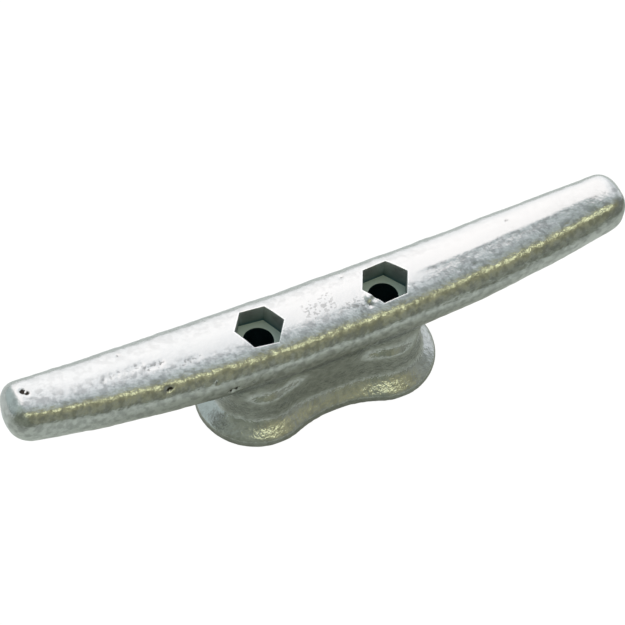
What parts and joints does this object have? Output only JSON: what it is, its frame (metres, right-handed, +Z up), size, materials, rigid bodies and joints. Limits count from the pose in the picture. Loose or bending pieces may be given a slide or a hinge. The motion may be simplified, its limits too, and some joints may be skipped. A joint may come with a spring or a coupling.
{
  "type": "horn cleat",
  "caption": "Line cleat: a tapered galvanised horn bar on a waisted pedestal foot, with hexagonal bolt-head sockets over through-bores.",
  "frame": {"origin": "centre of the foot's underside, on the mounting plane", "axes": "+X along the horn, +Y across it, +Z up out of the deck"},
  "size_m": [0.254, 0.0462, 0.056],
  "materials": {
    "galvanised_iron": "hot-dip galvanised casting, satin, lightly pitted"
  },
  "bodies": {
    "root": {"cleat_casting": "galvanised_iron"}
  },
  "joints": []
}
